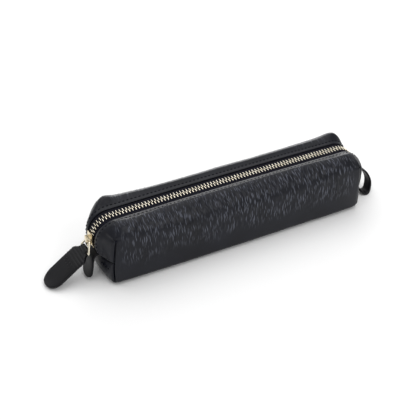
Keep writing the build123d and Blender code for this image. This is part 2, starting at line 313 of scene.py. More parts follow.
def plain_box(step):
    """The grids of the whole case on a plain box, welded: points, quads and each quad's region name."""
    along = grid_lines(-HALF_LENGTH, HALF_LENGTH, step, (-HALF_LENGTH, HALF_LENGTH))
    rolled = [MOUTH_HALF_GAP + gap for gap in (0.1, 0.25, 0.5, 0.9)]
    sewn = [STITCH_LINE + gap for gap in (-0.7, -0.35, 0, 0.35, 0.7)]
    upper = grid_lines(MOUTH_HALF_GAP, HALF_WIDTH, max(step, 0.9), (HALF_WIDTH,), (*rolled, *sewn))
    inner = grid_lines(0, MOUTH_HALF_GAP, 1.2, ())
    lower = np.unique(np.concatenate([inner, upper]))
    levels = grid_lines(0, HEIGHT, max(step, 0.9), (SEAM_HEIGHT,), (END_STITCH_HEIGHT,))
    above, below = levels[levels >= SEAM_HEIGHT], levels[levels <= SEAM_HEIGHT]
    parts = []
    for side, name in ((-1, "near"), (1, "far")):
        flank = np.sort(side * upper)
        whole = np.sort(side * lower)
        parts.append((name + "_side", patch(1, side * HALF_WIDTH, along, levels)))
        parts.append((name + "_top", patch(2, HEIGHT, along, flank)))
        parts.append((name + "_bottom", patch(2, 0.0, along, whole)))
        for end in (-HALF_LENGTH, HALF_LENGTH):
            parts.append((name + "_ear", patch(0, end, flank, above)))
            parts.append((name + "_lower_end", patch(0, end, whole, below)))
    q = np.concatenate([points for _, (points, _) in parts])
    starts = np.cumsum([0] + [len(points) for _, (points, _) in parts])
    quads = np.concatenate([quads + start for (_, (_, quads)), start in zip(parts, starts)])
    names = np.concatenate([[name] * len(quads) for name, (_, quads) in parts])
    welded, index = np.unique(q.round(3), axis=0, return_inverse=True)
    return welded, index.reshape(-1)[quads], names


def end_bulge(q, facing):
    """How far the ends puff out of their seams; facing is how squarely the surface faces along X."""
    across = np.clip(np.abs(q[:, 1]) / HALF_WIDTH, 0, 1)
    height = q[:, 2]
    pillow = (1 - across**2) ** 0.9
    seam_out = SEAM_BULGE * (1 - across**2)
    most = np.where(q[:, 0] < 0, LEFT_BULGE, RIGHT_BULGE) * (1 - 0.25 * smooth((height - 34) / 10))
    swell = np.sin(math.pi / 2 * np.clip((height - SEAM_HEIGHT) / 8, 0, 1)) ** 0.7
    upper = seam_out + swell * (most * pillow - seam_out)
    share = np.clip(height / SEAM_HEIGHT, 0, 1)
    foot = seam_out * (0.3 + 0.7 * share)
    lower = foot + np.sin(math.pi * share) ** 0.7 * (LOWER_BULGE * pillow - foot)
    return np.where(height >= SEAM_HEIGHT, upper, lower) * facing**1.6


def seam_grooves(q, facing):
    """Depth of the horizontal end seams, and of the upright corner seams with a pucker at their tops."""
    height = q[:, 2]
    level = LEVEL_GROOVE * np.exp(-(((height - SEAM_HEIGHT) / 0.6) ** 2)) * (facing > 0.3)
    aside = (HALF_LENGTH - np.abs(q[:, 0])) + (HALF_WIDTH - np.abs(q[:, 1]))
    corner = CORNER_GROOVE * np.exp(-((aside / 0.75) ** 2)) * (1 - smooth((height - SEAM_TOP + 1) / 2))
    pucker = np.exp(-((aside / 3.0) ** 2) - ((height - SEAM_TOP) / 2.2) ** 2)
    return np.maximum(level, corner) + pucker


def corner_flare(q):
    """How far the upright corners lean along X, with the near left one's fold above its seam.

    They lean outwards, less so at their very foot. The left ones turn inwards towards the top, and the far
    one more than the near one.
    """
    x, y, height = q.T
    left = 2.0 - 2.7 * smooth((height - 10) / 30) - 2.5 * smooth(height / 20) * smooth(y / HALF_WIDTH)
    reach = smooth((np.abs(x) - HALF_LENGTH + 14) / 14) * (y / HALF_WIDTH) ** 2
    tucked_foot = 0.65 + 0.35 * smooth(height / 4)
    beak = CORNER_BEAK * np.exp(-(((height - SEAM_TOP - 1) / 1.8) ** 2)) * (x < 0) * (y < 0)
    return np.sign(x) * reach * (np.where(x < 0, left, 1.2) * tucked_foot + beak)


def top_rise(p):
    """How far the shoulders beside the zip stand up, and the four corner ears above or below them."""
    along, across = np.abs(p[:, 0]), np.abs(p[:, 1])
    crest_height = 1.0 - 0.6 * smooth((along - TAPER_START) / 40)
    crest = crest_height * np.exp(-0.5 * ((across - 13.0) / 6) ** 2)
    peak_x = np.where(p[:, 0] < 0, 90.0, 97.0)
    is_far_left = (p[:, 0] < 0) & (p[:, 1] > 0)
    is_near_right = (p[:, 0] > 0) & (p[:, 1] < 0)
    away = ((along - peak_x) / np.where(is_far_left, 4.5, 6)) ** 2 + ((across - 17.0) / 5) ** 2
    ear_height = np.where(is_far_left, FAR_LEFT_EAR_HEIGHT, EAR_HEIGHT)
    ear = np.where(is_near_right, NEAR_RIGHT_EAR_HEIGHT, ear_height) * np.exp(-0.5 * away)
    return (crest + ear) * smooth((p[:, 2] - 30) / 12)


def wrinkles(q, p, facing):
    """Short upright creases over the upper half of the long sides, and soft hollows everywhere."""
    girth = np.where(q[:, 2] > HEIGHT - 0.01, HEIGHT + HALF_WIDTH - np.abs(q[:, 1]), q[:, 2])
    drift = value_noise(p, (9.0, 9.0, 7.0), 11)
    wander = value_noise(p, (14.0, 30.0, 12.0), 12)
    soft = value_noise(p, (26.0, 20.0, 16.0), 13)
    lower_edge = 13 + 5 * wander
    amount = smooth((girth - lower_edge) / 12) * (1 - smooth((girth - 50) / 8))
    amount *= (1 - 0.8 * smooth((q[:, 0] - 72) / 18)) * (1 - smooth(facing * 2.5)) * (0.8 + 0.35 * wander)
    amount *= np.where(q[:, 1] < 0, 1.0, 0.4)  # the far side is smoother
    flat = np.column_stack([p[:, 0] + 1.4 * drift, np.zeros(len(p)), girth + 3.0 * wander])
    veins = 1 - np.abs(value_noise(flat, (3.0, 1.0, 8.5), 21))
    fine_veins = 1 - np.abs(value_noise(flat, (1.8, 1.0, 5.5), 22))
    cells = cell_ridges(p[:, 0] / 2.9 + 0.5 * drift, girth / 9.0 + 0.8 * wander, 23)
    ridges = 0.4 * (veins**3 - 0.4) + 0.2 * (fine_veins**3 - 0.4) + 0.3 * (cells - 0.6)
    return amount * ridges + 0.3 * soft


def case_surface(step):
    """The finished outer surface: plain-box points, real points, outward normals, quads and regions."""
    q, quads, names = plain_box(step)
    p = rounded_box(q)
    normals = vertex_normals(p, quads)
    facing = np.abs(normals[:, 0])
    sideways = np.abs(normals[:, 1])
    height = q[:, 2]
    from_end = HALF_LENGTH - np.abs(q[:, 0])
    belly = BELLY * np.sin(math.pi * np.clip(height / HEIGHT, 0, 1) ** 0.8)
    belly = belly - ENDS_DRAWN_IN * np.exp(-from_end / 7)
    out = end_bulge(q, facing) - seam_grooves(q, facing) + belly * sideways * (1 - facing)
    p = p + normals * (out + wrinkles(q, p, facing))[:, None]
    p[:, 0] += corner_flare(q)
    p[:, 2] += top_rise(p)

    # The leather beside the zip follows the zip's own path, with its edge rolled down on the tape.
    across = np.abs(q[:, 1])
    on_end = from_end < 0.01
    path = np.where(on_end, HALF_LENGTH + HEIGHT - height, np.abs(q[:, 0]))
    total = HALF_LENGTH + HEIGHT - SEAM_HEIGHT
    start = BEND_X - 10
    s = np.where(path < start, path, start + (path - start) * (ZIP_HALF - start) / (total - start))
    roll = 0.7
    into = np.clip(1 - (across - MOUTH_HALF_GAP) / roll, 0, 1)
    sewn_in = 0.06 * np.exp(-(((across - STITCH_LINE) / 0.45) ** 2))
    thin_edge = 0.15 * (1 - smooth((across - MOUTH_HALF_GAP) / 2.2))
    rise = TAPE_HALF + LEATHER - thin_edge - roll * (1 - np.sqrt(1 - into**2)) - sewn_in
    beside = zip_place(np.where(q[:, 0] < 0, -s, s), q[:, 1], rise)
    near_zip = (1 - smooth((across - MOUTH_HALF_GAP - 1.5) / 6)) * (across >= MOUTH_HALF_GAP - 0.01)
    is_upper = np.where(on_end, smooth((height - SEAM_HEIGHT) / 5), height > HEIGHT - 0.01)
    weight = (near_zip * is_upper)[:, None]
    p = p * (1 - weight) + beside * weight

    # The end seam dips towards the middle, and nothing goes below the floor.
    at_seam = np.exp(-(((height - SEAM_HEIGHT) / 7) ** 2))
    dip = SEAM_DIP * (1 - np.clip(across / HALF_WIDTH, 0, 1) ** 2) * at_seam
    p[:, 2] -= dip * facing
    p[:, 2] = np.maximum(p[:, 2], 0.02)
    return q, p, vertex_normals(p, quads), quads, names


def take(points, quads, chosen):
    """The chosen quads with only the points that they use."""
    used, index = np.unique(quads[chosen], return_inverse=True)
    return points[used], index.reshape(-1, 4)


# ------------------------------------------------------------------ materials
def new_material(name):
    """A new node material, with its nodes, its links and its shader."""
    material = bpy.data.materials.new(name)
    material.use_nodes = True
    tree = material.node_tree
    return material, tree.nodes, tree.links, tree.nodes["Principled BSDF"]


def scaled_coordinates(nodes, links, scale):
    """Object coordinates multiplied by scale along x, y and z."""
    coordinates = nodes.new("ShaderNodeTexCoord")
    mapping = nodes.new("ShaderNodeMapping")
    mapping.inputs["Scale"].default_value = scale
    links.new(coordinates.outputs["Object"], mapping.inputs["Vector"])
    return mapping.outputs["Vector"]


def two_tone(nodes, links, factor, low, high, dark, light):
    """A colour ramp between two colours."""
    colours = nodes.new("ShaderNodeValToRGB")
    for element, position, colour in zip(colours.color_ramp.elements, (low, high), (dark, light)):
        element.position = position
        element.color = (*colour, 1)
    links.new(factor, colours.inputs["Fac"])
    return colours.outputs["Color"]


def noise_node(nodes, links, vector, scale, detail=4.0, roughness=0.55):
    """A noise texture."""
    noise = nodes.new("ShaderNodeTexNoise")
    noise.inputs["Scale"].default_value = scale
    noise.inputs["Detail"].default_value = detail
    noise.inputs["Roughness"].default_value = roughness
    links.new(vector, noise.inputs["Vector"])
    return noise.outputs["Fac"]


def add_bump(nodes, links, height, strength, distance, before=None):
    """A bump node on top of another."""
    bump = nodes.new("ShaderNodeBump")
    bump.inputs["Strength"].default_value = strength
    bump.inputs["Distance"].default_value = distance * MM
    links.new(height, bump.inputs["Height"])
    if before is not None:
        links.new(before, bump.inputs["Normal"])
    return bump.outputs["Normal"]


def combine(nodes, links, operation, first, second):
    """A math node; each operand is an output socket or a number."""
    node = nodes.new("ShaderNodeMath")
    node.operation = operation
    for index, operand in enumerate((first, second)):
        if isinstance(operand, (int, float)):
            node.inputs[index].default_value = operand
        else:
            links.new(operand, node.inputs[index])
    return node.outputs["Value"]


def ramp(nodes, links, value, start, end):
    """A smooth rise from 0 to 1 as the value goes from start to end, in either direction."""
    node = nodes.new("ShaderNodeMapRange")
    node.interpolation_type = "SMOOTHSTEP"
    node.inputs["From Min"].default_value = start
    node.inputs["From Max"].default_value = end
    links.new(value, node.inputs["Value"])
    return node.outputs["Result"]


def crease_strokes(nodes, links, plain):
    """Short upright strokes that wander a little, on the upper part of the long sides.

    They are the middles of cells, drawn out upwards. Height less the distance from the zip's plane takes
    the place of height, because it goes on growing over the shoulder.
    """
    most_sway = 2.8 * MM
    squeeze = 0.1  # of the height, which makes the cells ten times taller than wide
    split = nodes.new("ShaderNodeSeparateXYZ")
    links.new(plain, split.inputs["Vector"])
    across = combine(nodes, links, "ABSOLUTE", split.outputs["Y"], 0)
    girth = combine(nodes, links, "SUBTRACT", split.outputs["Z"], across)
    sway = combine(nodes, links, "MULTIPLY", noise_node(nodes, links, plain, 120, 1), most_sway)
    place = nodes.new("ShaderNodeCombineXYZ")
    links.new(combine(nodes, links, "ADD", split.outputs["X"], sway), place.inputs["X"])
    links.new(combine(nodes, links, "MULTIPLY", girth, squeeze), place.inputs["Y"])
    strokes = []
    for cell, reach in ((1.6, 0.25), (1.2, 0.22)):
        cells = nodes.new("ShaderNodeTexVoronoi")
        cells.voronoi_dimensions = "2D"
        cells.inputs["Scale"].default_value = 1000 / cell
        links.new(place.outputs["Vector"], cells.inputs["Vector"])
        strokes.append(ramp(nodes, links, cells.outputs["Distance"], reach, reach / 3))
    both = combine(nodes, links, "MAXIMUM", strokes[0], strokes[1])
    ragged = combine(nodes, links, "MULTIPLY", noise_node(nodes, links, plain, 60, 2), 16 * MM)
    lower = ramp(nodes, links, combine(nodes, links, "ADD", girth, ragged), -3 * MM, 8 * MM)
    upper = ramp(nodes, links, girth, 35 * MM, 31 * MM)
    along = combine(nodes, links, "ABSOLUTE", split.outputs["X"], 0)
    not_end = ramp(nodes, links, along, 97 * MM, 88 * MM)
    patches = ramp(nodes, links, noise_node(nodes, links, plain, 110, 2), 0.25, 0.6)
    for mask in (lower, upper, not_end, patches):
        both = combine(nodes, links, "MULTIPLY", both, mask)
    return both


def leather_material(name, dark, light, roughness, pebble, crest=None):
    """Dyed leather: pebbled grain, and a faint variation of colour and gloss.

    With a crest colour it also has upright creases, bumped in, whose tops are mixed towards that lighter
    colour as a painted highlight.
    """
    pebble_size = 1.2
    material, nodes, links, shader = new_material(name)
    plain = scaled_coordinates(nodes, links, (1, 1, 1))
    cloudy = noise_node(nodes, links, plain, 70, 5)
    colour = two_tone(nodes, links, cloudy, 0.35, 0.7, dark, light)
    rough = nodes.new("ShaderNodeMapRange")
    rough.inputs["To Min"].default_value = roughness - 0.08
    rough.inputs["To Max"].default_value = roughness + 0.08
    links.new(noise_node(nodes, links, plain, 260, 3), rough.inputs["Value"])
    links.new(rough.outputs["Result"], shader.inputs["Roughness"])
    cells = nodes.new("ShaderNodeTexVoronoi")
    cells.inputs["Scale"].default_value = 1000 / pebble_size
    links.new(plain, cells.inputs["Vector"])
    normal = add_bump(nodes, links, cells.outputs["Distance"], pebble, 0.10)
    normal = add_bump(nodes, links, noise_node(nodes, links, plain, 2600, 2), 0.2, 0.04, normal)
    if crest:
        strokes = crease_strokes(nodes, links, plain)
        normal = add_bump(nodes, links, strokes, 0.6, 0.3, normal)
        # Painted highlight: the crease tops are mixed towards the lighter crest colour, in place of light
        # caught on them.
        painted_highlight_mix = nodes.new("ShaderNodeMix")
        painted_highlight_mix.data_type = "RGBA"
        links.new(strokes, painted_highlight_mix.inputs["Factor"])
        links.new(colour, painted_highlight_mix.inputs["A"])
        painted_highlight_mix.inputs["B"].default_value = (*crest, 1)
        colour = painted_highlight_mix.outputs["Result"]
    links.new(colour, shader.inputs["Base Color"])
    links.new(normal, shader.inputs["Normal"])
    shader.inputs["Specular IOR Level"].default_value = 0.24
    return material


def woven_material(name, dark, light, pitch):
    """Cloth or twisted thread: fine slanted ribs."""
    material, nodes, links, shader = new_material(name)
    plain = scaled_coordinates(nodes, links, (1, 1, 1))
    slanted = scaled_coordinates(nodes, links, (1, 0.55, 0.55))
    wave = nodes.new("ShaderNodeTexWave")
    wave.bands_direction = "DIAGONAL"
    wave.inputs["Scale"].default_value = 1000 / pitch / 20 * 3.2
    wave.inputs["Distortion"].default_value = 0.6
    links.new(slanted, wave.inputs["Vector"])
    links.new(two_tone(nodes, links, wave.outputs["Fac"], 0.2, 0.8, dark, light), shader.inputs["Base Color"])
    normal = add_bump(nodes, links, wave.outputs["Fac"], 0.6, 0.12)
    normal = add_bump(nodes, links, noise_node(nodes, links, plain, 1500, 3), 0.3, 0.08, normal)
    links.new(normal, shader.inputs["Normal"])
    shader.inputs["Roughness"].default_value = 0.85
    shader.inputs["Specular IOR Level"].default_value = 0.15
    return material


def metal_material(name, dark, light, roughness):
    """Plated metal with fine wear."""
    material, nodes, links, shader = new_material(name)
    plain = scaled_coordinates(nodes, links, (1, 1, 1))
    links.new(
        two_tone(nodes, links, noise_node(nodes, links, plain, 300, 4), 0.3, 0.7, dark, light),
        shader.inputs["Base Color"],
    )
    rough = nodes.new("ShaderNodeMapRange")
    rough.inputs["To Min"].default_value = roughness - 0.06
    rough.inputs["To Max"].default_value = roughness + 0.1
    links.new(noise_node(nodes, links, plain, 900, 3), rough.inputs["Value"])
    links.new(rough.outputs["Result"], shader.inputs["Roughness"])
    shader.inputs["Metallic"].default_value = 1.0
    normal = add_bump(nodes, links, noise_node(nodes, links, plain, 1800, 2), 0.15, 0.03)
    links.new(normal, shader.inputs["Normal"])
    return material


# The crest colour is a painted highlight on the tops of the case leather's creases.
case_leather = leather_material("case_leather", (0.0036, 0.0042, 0.0075), (0.0065, 0.0075, 0.0128),
                                roughness=0.36, pebble=0.2, crest=(0.098, 0.105, 0.132))
strap_leather = leather_material("strap_leather", (0.0018, 0.0018, 0.003), (0.0036, 0.0036, 0.0055),
                                 roughness=0.46, pebble=0.25)
tape_cloth = woven_material("tape_cloth", (0.002, 0.002, 0.005), (0.007, 0.007, 0.014), 0.55)
lining_cloth = woven_material("lining_cloth", (0.02, 0.02, 0.026), (0.045, 0.045, 0.055), 0.5)
gold = metal_material("pale_gold", (0.88, 0.80, 0.62), (0.97, 0.92, 0.80), 0.28)
slider_gold = metal_material("slider_gold", (0.62, 0.52, 0.34), (0.85, 0.76, 0.58), 0.17)
# Painted shade: a dark gold for the teeth's flanks, in place of the shade that falls between the teeth.
painted_shade_gold = metal_material("painted_shade_gold", (0.06, 0.045, 0.03), (0.16, 0.12, 0.08), 0.4)
thread = woven_material("waxed_thread", (0.002, 0.002, 0.004), (0.006, 0.007, 0.011), 0.3)


# ------------------------------------------------------------------ leather and lining
def ride_side(piece):
    """A piece of the near or far side, with its transform baked into its mesh."""
    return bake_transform(piece)


def skin(name, surface, chosen, inset, thickness, material):
    """Part of the case's surface, moved inwards by inset and given a thickness."""
    _, p, normals, quads, _ = surface
    points, faces = take(p - normals * inset, quads, chosen)
    return thicken(make_piece(name, points, faces, material), thickness)


def middles(surface):
    """Distances along X, across Y and up of each quad's middle, on the plain box."""
    q, _, _, quads, _ = surface
    return np.abs(q[quads]).mean(axis=1).T


def choose(surface, regions, low_across=0.0, high_across=1e9):
    """Quads in these regions whose middles lie between two distances from the zip's centre plane."""
    across = middles(surface)[1]
    return np.isin(surface[4], regions) & (across > low_across) & (across < high_across)


def make_leather(surface):
    """The outer leather: near and far sides that wrap under the base, and the base with both lower ends."""
    under = HALF_WIDTH - 6.0  # the sides wrap under the base as far as this
    for side in ("near", "far"):
        wall = choose(surface, [side + "_side", side + "_top", side + "_ear"])
        wall |= choose(surface, [side + "_bottom"], low_across=under)
        piece = skin(side + "_leather", surface, wall, 0.0, LEATHER, case_leather)
        ride_side(piece)
        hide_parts(side + "_side_leather", side + "_left_ear", side + "_right_ear")
    base = choose(surface, ["near_lower_end", "far_lower_end"])
    base |= choose(surface, ["near_bottom", "far_bottom"], high_across=under)
    piece = skin("base_and_ends", surface, base, 0.0, LEATHER, case_leather)
    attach(piece, "case")
    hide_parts("base_leather", "left_end_lower", "right_end_lower")


def make_lining(surface):
    """The lining, one layer inside the leather and sewn to the tapes."""
    slack = 0.25  # between the leather and the lining
    inset = LEATHER + slack
    for side in ("near", "far"):
        wall = choose(surface, [side + "_side", side + "_top", side + "_ear"], low_across=MOUTH_HALF_GAP + 2)
        piece = skin(side + "_lining_cloth", surface, wall, inset, LINING, lining_cloth)
        ride_side(piece)
        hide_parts(side + "_lining")
    base = choose(surface, ["near_lower_end", "far_lower_end", "near_bottom", "far_bottom"])
    piece = skin("base_lining_cloth", surface, base, inset, LINING, lining_cloth)
    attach(piece, "case")
    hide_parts("base_lining")


def make_bindings(surface):
    """Tape bound over the raw edges of the seams, inside the lining."""
    q, _, _, quads, names = surface
    half = 2.6
    binding = 0.3
    inset = LEATHER + LINING + 0.4
    along, across, up = middles(surface)
    on_end = np.isin(names, ["near_ear", "far_ear", "near_lower_end", "far_lower_end"])
    level = on_end & (np.abs(up - SEAM_HEIGHT) < half) & (across < HALF_WIDTH - 3)
    is_left = q[quads][:, :, 0].mean(axis=1) < 0
    for name, end in (("left", is_left), ("right", ~is_left)):
        piece = skin(name + "_binding", surface, level & end, inset, binding, tape_cloth)
        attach(piece, "case")
        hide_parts(name + "_seam_binding")
    upright = (HALF_LENGTH - along < half) & (HALF_WIDTH - across < half) & (up > 3) & (up < SEAM_TOP)
    for side in ("near", "far"):
        of_side = np.char.startswith(names, side)
        piece = skin(side + "_corner_binding", surface, upright & of_side, inset, binding, tape_cloth)
        ride_side(piece)
        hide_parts("corner_bindings")


def sewn_row(surface, on_row, order_by, keep):
    """Stitches along a line of the surface's grid: (points, faces) of each, in order."""
    _, p, normals, _, _ = surface
    order = np.argsort(order_by[on_row])
    line, up = p[on_row][order], normals[on_row][order]
    distance = np.concatenate([[0], np.cumsum(np.linalg.norm(np.diff(line, axis=0), axis=1))])
    stitches = []
    for start in np.arange(1.5, distance[-1] - STITCH_LENGTH, STITCH_PITCH):
        stations = np.linspace(start, start + STITCH_LENGTH, len(STITCH_SIZES))
        middle = np.column_stack([np.interp(stations, distance, line[:, axis]) for axis in range(3)])
        outward = np.column_stack([np.interp(stations, distance, up[:, axis]) for axis in range(3)])
        if keep(middle[len(middle) // 2]):
            stitches.append(one_stitch(middle, outward))
    return stitches


def one_stitch(middle, outward):
    """A short plump stitch of thread that dives into the leather at both ends."""
    along = middle[-1] - middle[0]
    along = along / np.linalg.norm(along)
    rings = []
    for point, up, size, lift in zip(middle, outward, STITCH_SIZES, STITCH_LIFTS):
        section = superellipse(STITCH_HALF_WIDTH * size, STITCH_HALF_HEIGHT * size, 2.0, 10)
        rings.append(point + up * lift + section[:, :1] * np.cross(along, up) + section[:, 1:] * up)
    return loft(rings)


def make_stitches(surface):
    """Topstitches beside the zip, along the top and down both ends, and a short row on each lower end."""
    q = surface[0]
    on_end = HALF_LENGTH - np.abs(q[:, 0]) < 0.01
    path = np.where(on_end, HALF_LENGTH + HEIGHT - q[:, 2], np.abs(q[:, 0])) * np.sign(q[:, 0])
    for side, sign in (("near", -1), ("far", 1)):
        on_row = np.isclose(q[:, 1], sign * STITCH_LINE, atol=0.01) & (q[:, 2] > SEAM_HEIGHT + 2)
        points, faces = merge(sewn_row(surface, on_row, path, lambda point: True))
        piece = make_piece(side + "_topstitches", points, faces, thread)
        ride_side(piece)
        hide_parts(side + "_topstitch")
    for name, sign in (("left", -1), ("right", 1)):
        on_row = on_end & np.isclose(q[:, 2], END_STITCH_HEIGHT, atol=0.01) & (np.sign(q[:, 0]) == sign)
        row = sewn_row(surface, on_row, q[:, 1], lambda point: 8 < abs(point[1]) < 18)
        points, faces = merge(row)
        piece = make_piece(name + "_end_row", points, faces, thread)
        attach(piece, "case")
        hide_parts(name + "_end_stitches")


leather_surface = case_surface(step=0.42)
make_leather(leather_surface)
make_stitches(leather_surface)
inner_surface = case_surface(step=2.2)
make_lining(inner_surface)
make_bindings(inner_surface)


# ------------------------------------------------------------------ zip
def make_tape(side, sign):
    """One woven tape, with a thicker corded edge that the teeth clamp."""
    left_end = np.linspace(-ZIP_HALF, -BEND_X, 24)
    top = np.linspace(-BEND_X, BEND_X, 60)[1:-1]
    right_end = np.linspace(BEND_X, ZIP_HALF, 24)
    stations = np.concatenate([left_end, top, right_end])
    section = [(0.8, -0.4), (1.2, -0.62), (2.0, -0.62), (2.7, -0.27), (8.8, -0.25), (8.8, 0.25), (2.7, 0.27),
               (2.0, 0.62), (1.2, 0.62), (0.8, 0.4)]
    rings = []
    for s in stations:
        ring = [zip_place(np.array([s]), sign * across, rise)[0] for across, rise in section]
        rings.append(np.array(ring if sign < 0 else ring[::-1]))
    points, faces = loft(rings)
    piece = make_piece(side + "_zip_tape", points, faces, tape_cloth)
    ride_side(piece)
    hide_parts(side + "_tape", side + "_tape_left_end", side + "_tape_right_end")


TOOTH_OUTLINE_POINTS = 12
TOOTH_FLANK_FACES = 3 * TOOTH_OUTLINE_POINTS  # the faces below a tooth's crown, which get the dark gold of painted shade


def tooth_shape():
    """A cast tooth at the origin: a leg that clamps the tape and a domed head; x along, y out to the heel."""
    half = [(0.3, 2.9), (0.38, 2.6), (0.33, 1.2), (0.33, 0.7), (0.28, -0.1), (0.16, -0.5)]
    outline = half + [(-x, y) for x, y in reversed(half)]
    outline = np.array(outline)
    centre = outline.mean(axis=0)
    rings = []
    for rise, size in ((-0.95, 0.7), (-0.75, 1.0), (0.0, 1.0), (0.7, 0.95), (0.9, 0.78), (0.98, 0.5)):
        flat = centre + (outline - centre) * np.array([size, 0.85 + 0.15 * size])
        rings.append(np.column_stack([flat, np.full(len(flat), rise)]))
    return loft(rings)


def make_teeth(side, sign):
    """Every tooth of one side, from one end of the chain to the other."""
    points, faces = tooth_shape()
    last = BEND_X + BEND_RADIUS * TEETH_SWEEP
    count = int(last / TOOTH_PITCH)
    shapes = []
    for step in range(-count, count + 1):
        s = step * TOOTH_PITCH + sign * TOOTH_PITCH / 4
        x, z, normal_x, normal_z = (float(v) for v in zip_point(s))
        along = np.array([normal_z, 0, -normal_x])
        up = np.array([normal_x, 0, normal_z])
        out = np.array([0, sign, 0])
        placed = np.array([x, 0, z]) + points[:, :1] * along + points[:, 1:2] * out + points[:, 2:] * up
        shapes.append((placed, faces if sign < 0 else [face[::-1] for face in faces]))
    points, faces = merge(shapes)
    piece = make_piece(side + "_zip_teeth", points, faces, gold)
    # The flanks take the dark gold: painted shade between the teeth.
    piece.data.materials.append(painted_shade_gold)
    per_tooth = len(faces) // len(shapes)
    for index, polygon in enumerate(piece.data.polygons):
        polygon.material_index = int(index % per_tooth < TOOTH_FLANK_FACES)
    ride_side(piece)
    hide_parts(side + "_teeth", side + "_teeth_left_end", side + "_teeth_right_end")


for side_name, side_sign in (("near", -1), ("far", 1)):
    make_tape(side_name, side_sign)
    make_teeth(side_name, side_sign)


# ------------------------------------------------------------------ pull, tongue and loop
def smooth_path(control, count, closed=False):
    """A Catmull-Rom curve through control points."""
    control = np.array(control, float)
    size = len(control)
    spans = size if closed else size - 1
    out = []
    for span in range(spans):
        index = [span - 1, span, span + 1, span + 2]
        index = [i % size for i in index] if closed else [min(max(i, 0), size - 1) for i in index]
        a, b, c, d = control[index]
        for t in np.linspace(0, 1, count, endpoint=False):
            square = (2 * a - 5 * b + 4 * c - d) * t**2
            cube = (3 * b - a - 3 * c + d) * t**3
            out.append(0.5 * (2 * b + (c - a) * t + square + cube))
    if not closed:
        out.append(control[-1])
    return np.array(out)


def strip_rings(path, half_widths, half_thicknesses, closed=False, power=5.0):
    """Rings of a flat strip in the XZ plane: its path, half widths in Y and half thicknesses."""
    ahead = np.roll(path, -1, axis=0) - np.roll(path, 1, axis=0)
    if not closed:
        ahead[0], ahead[-1] = path[1] - path[0], path[-1] - path[-2]
    ahead = ahead / np.linalg.norm(ahead, axis=1, keepdims=True)
    rings = []
    for point, run, width, thickness in zip(path, ahead, half_widths, half_thicknesses):
        section = superellipse(width, thickness, power, 40)
        up = np.array([-run[1], 0, run[0]])
        middle = np.array([point[0], 0, point[1]])
        rings.append(middle + section[:, :1] * np.array([0, 1.0, 0]) + section[:, 1:] * up)
    return rings


def distances(path):
    """The distance along a path at each of its points."""
    return np.concatenate([[0], np.cumsum(np.linalg.norm(np.diff(path, axis=0), axis=1))])


def rounded_end(distance, length, half):
    """The half width of a strip with a semicircular end, at a distance along it."""
    into = np.clip((distance - (length - half)) / half, 0, 1)
    return half * np.sqrt(np.maximum(1 - into**2, 0.0004))


strap_low, strap_high = (np.array(corner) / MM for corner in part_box("pull_strap"))
link_low, link_high = (np.array(corner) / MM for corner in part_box("pull_link"))
WIRE_RADIUS = 0.75
BAR = np.array([link_low[0] + WIRE_RADIUS, link_low[2] + WIRE_RADIUS])  # X and Z of the link's base bar
APEX = np.array([link_high[0] - WIRE_RADIUS, link_high[2] - WIRE_RADIUS])


def make_strap():
    """The pull strap: two layers sewn together, folded over the bar, with a rounded end."""
    half = (strap_high[1] - strap_low[1]) / 2
    neck = 5.9  # half width beside the bar
    half_thickness = 1.35
    fold_radius, fold_half_width, fold_half_thickness = 1.55, 4.6, 0.62
    ribs_from, ribs_over, rib_count, rib_height = 2.0, 9.4, 4, 0.2
    tip = np.array([strap_low[0] + 0.6, 1.6])
    rest = np.array([strap_low[0] + 7.0, 4.3])
    path = smooth_path([BAR + (-1.0, -0.7), BAR * 0.62 + rest * 0.38 + (0, 0.25), rest, tip], 26)
    distance = distances(path)
    length = distance[-1]
    widths = np.minimum(neck + (half - neck) * smooth(distance / 4.5), rounded_end(distance, length, half))
    phase = np.clip(distance - ribs_from, 0, ribs_over) / ribs_over * rib_count * 2 * math.pi
    ridges = rib_height * np.sin(phase) * (distance < ribs_from + ribs_over)
    thick = half_thickness + ridges
    thick = thick * np.clip((length - distance) / 0.7, 0.25, 1) ** 0.5
    body = loft(strip_rings(path, widths, thick))
    slope = math.radians(55)
    turns = [math.radians(angle) + slope for angle in np.linspace(-35, 215, 20)]
    roll = np.array([BAR + fold_radius * np.array([math.cos(turn), math.sin(turn)]) for turn in turns])
    fold_widths = np.full(len(roll), fold_half_width)
    fold = loft(strip_rings(roll, fold_widths, np.full(len(roll), fold_half_thickness), power=4.0))
    points, faces = merge([body, fold])
    piece = make_piece("strap_leather_body", points, faces, strap_leather)
    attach(piece, "strap")
    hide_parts("pull_strap")
    return path, distance, thick


def make_strap_stitches(path, distance, thick):
    """Two rows of stitches across the strap, near the bar."""
    stitches = []
    for along in (12.4, 14.6):
        index = int(np.argmin(np.abs(distance - along)))
        run = path[index + 1] - path[index]
        run = run / np.linalg.norm(run)
        up = np.array([run[1], 0, -run[0]])
        middle = np.array([path[index][0], 0, path[index][1]]) + up * thick[index]
        for y in (-4.4, -1.5, 1.5, 4.4):
            line = middle + np.outer(np.linspace(y - 1.0, y + 1.0, len(STITCH_SIZES)), (0, 1, 0))
            stitches.append(one_stitch(line, np.tile(up, (len(line), 1))))
    points, faces = merge(stitches)
    piece = make_piece("strap_stitch_rows", points, faces, strap_leather)
    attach(piece, "strap")
    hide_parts("strap_stitches")


make_strap_stitches(*make_strap())


